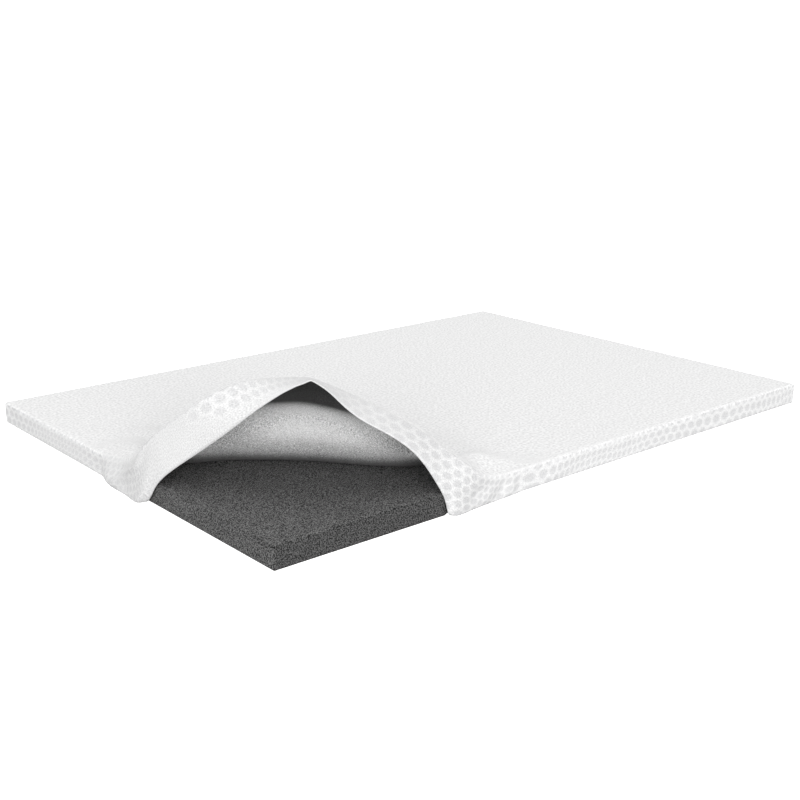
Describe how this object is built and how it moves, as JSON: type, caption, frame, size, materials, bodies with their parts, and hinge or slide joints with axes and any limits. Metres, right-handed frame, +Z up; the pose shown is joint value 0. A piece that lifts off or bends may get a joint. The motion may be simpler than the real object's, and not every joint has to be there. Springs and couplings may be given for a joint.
{
  "type": "mattress topper",
  "caption": "Foam mattress topper in a white knit cover, lying flat, with one corner of the cover drawn up and back like a hood over the bare charcoal foam.",
  "frame": {"origin": "on the floor under the middle of the topper's footprint", "axes": "+X along the long sides, away from the lifted corner; +Y along the short sides, away from the lifted corner; +Z up"},
  "size_m": [1.9259, 1.3725, 0.332],
  "materials": {
    "foam": "open-cell foam, dull charcoal, faintly speckled",
    "knit": "soft white double knit with rows of recessed light grey dots"
  },
  "bodies": {
    "root": {"foam_core": "foam", "cover": "knit"}
  },
  "joints": []
}
